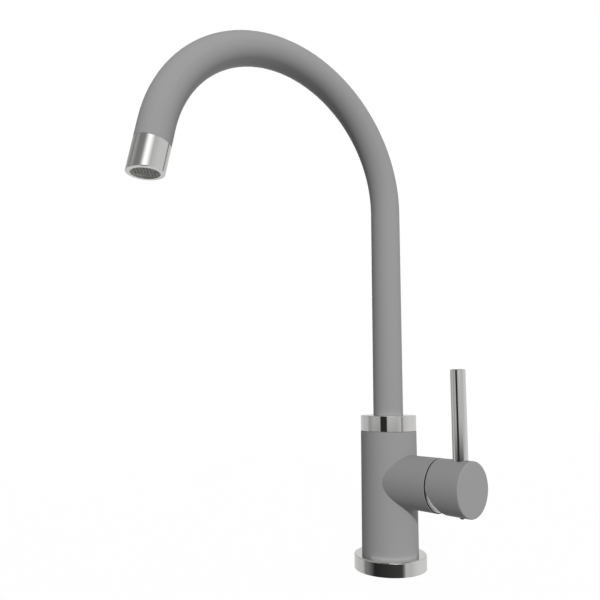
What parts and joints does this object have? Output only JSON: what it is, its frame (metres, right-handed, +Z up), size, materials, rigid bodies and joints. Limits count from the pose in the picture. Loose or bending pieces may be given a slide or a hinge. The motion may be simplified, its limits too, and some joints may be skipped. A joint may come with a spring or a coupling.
{
  "type": "kitchen mixer tap",
  "caption": "Single-hole kitchen mixer tap with a turning swan-neck spout, a side pin lever on a tilting cap, and chrome flange, collar and outlet on a grey body.",
  "frame": {"origin": "centre of the flange's underside, on the deck, on the axis of the body", "axes": "+Z up along the body, +X along the handle's axis, outward, -Y towards the user; the spout stands 4.85 degrees off -Y, as in the picture"},
  "size_m": [0.1003, 0.2348, 0.3777],
  "materials": {
    "grey_coat": "matte coat on brass",
    "chrome": "polished chrome plate",
    "black_rubber": "moulded",
    "white_acetal": "moulded",
    "pale_plastic": "moulded",
    "ceramic": "lapped alumina ceramic",
    "raw_brass": "turned",
    "steel": "stainless",
    "grey_plastic": "moulded"
  },
  "bodies": {
    "body": {"body_casting": "grey_coat", "base_flange": "chrome", "base_gasket": "black_rubber", "thrust_washer": "white_acetal", "spout_lock_screw": "steel", "cartridge_base": "white_acetal", "cartridge_seals": "black_rubber", "fixed_disc": "ceramic", "cartridge_shell": "pale_plastic", "cartridge_nut": "raw_brass", "dome_ring": "chrome"},
    "spout": {"spout_tube": "grey_coat", "spout_spigot": "raw_brass", "spout_o_rings": "black_rubber", "spout_slide_rings": "white_acetal", "collar": "chrome", "aerator_housing": "chrome", "aerator_insert": "pale_plastic", "aerator_screen": "steel", "flow_regulator": "white_acetal", "aerator_washer": "black_rubber"},
    "rotor": {"rotor": "pale_plastic", "pivot_pin": "steel"},
    "handle": {"handle_cap": "grey_coat", "stem": "raw_brass", "lever_rod": "chrome", "handle_grub_screw": "steel", "screw_plug": "grey_plastic"},
    "disc": {"moving_disc": "ceramic", "disc_carrier": "pale_plastic"}
  },
  "joints": [
    {"name": "spout_swivel", "type": "hinge", "parent": "body", "child": "spout", "pos_m": [0, 0, 0.0994], "axis": [0, 0, 1], "continuous": true},
    {"name": "temperature_turn", "type": "hinge", "parent": "body", "child": "rotor", "pos_m": [0.0453, 0, 0.06355], "axis": [1, 0, 0], "range_deg": [-45, 45]},
    {"name": "flow_tilt", "type": "hinge", "parent": "rotor", "child": "handle", "pos_m": [0.0453, 0, 0.06355], "axis": [0, 1, 0], "range_deg": [0, 23]},
    {"name": "disc_slide", "type": "slide", "parent": "rotor", "child": "disc", "axis": [0, 0, 1], "range_m": [0, 0.00474]}
  ],
  "couplings": [
    {"joint": "disc_slide", "follows": "flow_tilt", "m_per_rad": 0.0118}
  ]
}
